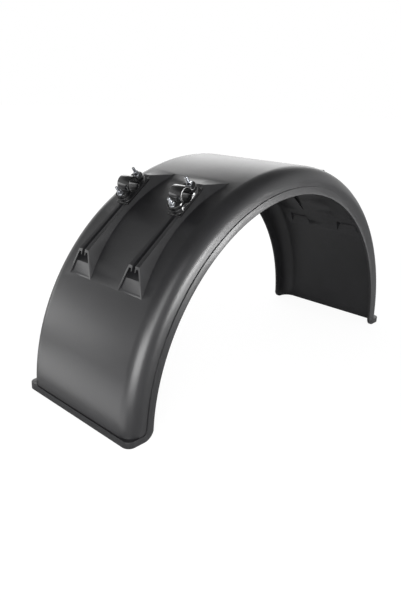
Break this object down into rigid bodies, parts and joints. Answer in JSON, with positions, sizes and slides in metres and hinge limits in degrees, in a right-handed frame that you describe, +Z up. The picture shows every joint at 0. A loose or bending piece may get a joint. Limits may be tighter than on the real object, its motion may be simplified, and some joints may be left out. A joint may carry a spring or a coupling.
{
  "type": "mudguard",
  "caption": "Half-round mudguard with raised rims, sloping slotted rails on both sides of the crown and bolted tube clamps that slide along them.",
  "frame": {"origin": "centre of the arch on the ground, midway between the two side walls", "axes": "+Z up, +X along the arch (the way the wheel runs), +Y across it along the axle; the clamps sit on the -X slope"},
  "size_m": [1.169, 0.407, 0.5799],
  "materials": {
    "moulding_black": "black polyethylene with a fine grain and a soft sheen",
    "clamp_black": "black glass-filled nylon, semi-gloss",
    "zinc_steel": "bright zinc-plated steel"
  },
  "bodies": {
    "root": {"mudguard_moulding": "moulding_black", "front_clamp_saddle": "clamp_black", "front_clamp_cap": "clamp_black", "front_slide_plate": "zinc_steel", "front_upper_bolt": "zinc_steel", "front_upper_washer": "zinc_steel", "front_upper_nut": "zinc_steel", "front_lower_bolt": "zinc_steel", "front_lower_washer": "zinc_steel", "front_lower_nut": "zinc_steel", "back_clamp_saddle": "clamp_black", "back_clamp_cap": "clamp_black", "back_slide_plate": "zinc_steel", "back_upper_bolt": "zinc_steel", "back_upper_washer": "zinc_steel", "back_upper_nut": "zinc_steel", "back_lower_bolt": "zinc_steel", "back_lower_washer": "zinc_steel", "back_lower_nut": "zinc_steel"}
  },
  "joints": []
}
